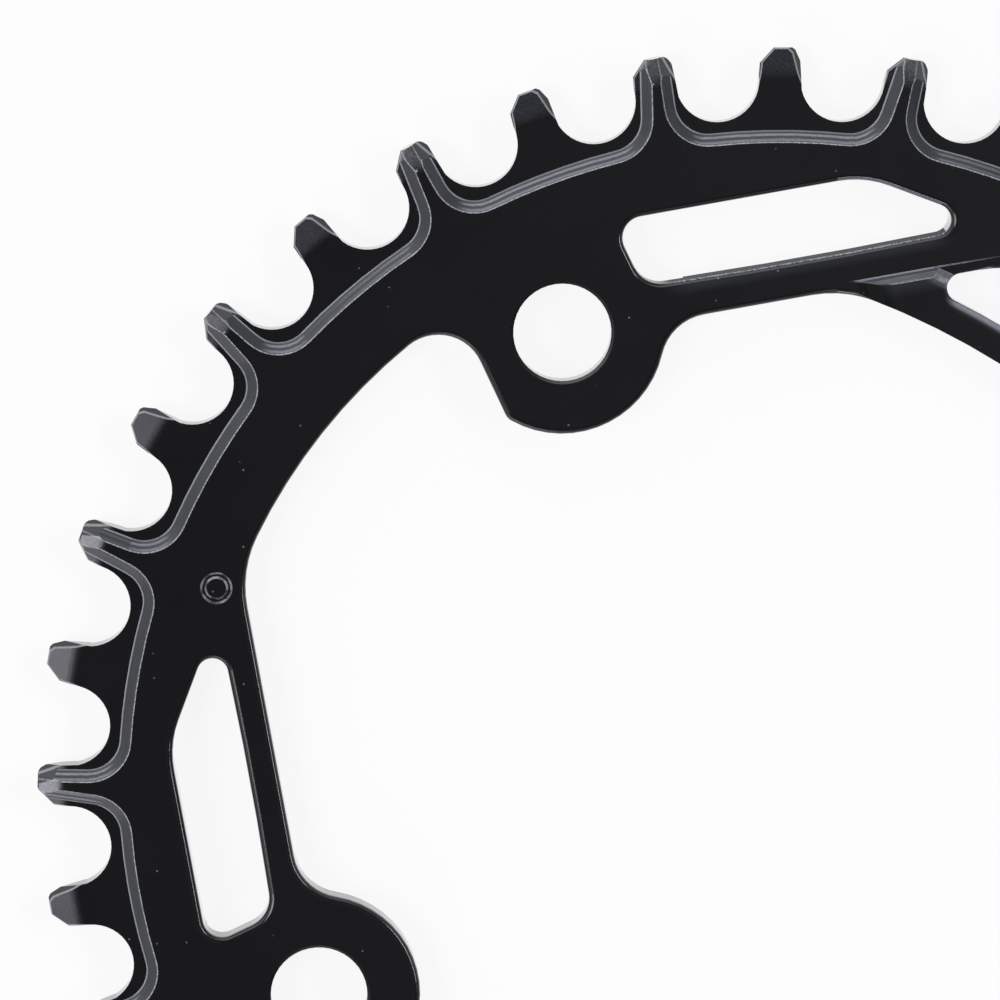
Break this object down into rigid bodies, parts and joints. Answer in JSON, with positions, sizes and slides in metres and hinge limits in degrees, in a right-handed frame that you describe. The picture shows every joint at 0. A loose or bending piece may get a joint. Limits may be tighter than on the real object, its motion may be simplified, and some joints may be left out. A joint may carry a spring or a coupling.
{
  "type": "bicycle chainring",
  "caption": "Flat toothed chainring with alternating wide and narrow teeth, thin struts and mounting tabs round a large open centre.",
  "frame": {"origin": "on the ring's axis, at the level of the back face that it lies on", "axes": "+Z along the ring's axis, towards the front face; +Y through a narrow tooth"},
  "size_m": [0.152, 0.152, 0.004],
  "materials": {
    "anodised": "black anodised, satin"
  },
  "bodies": {
    "root": {"chainring": "anodised"}
  },
  "joints": []
}
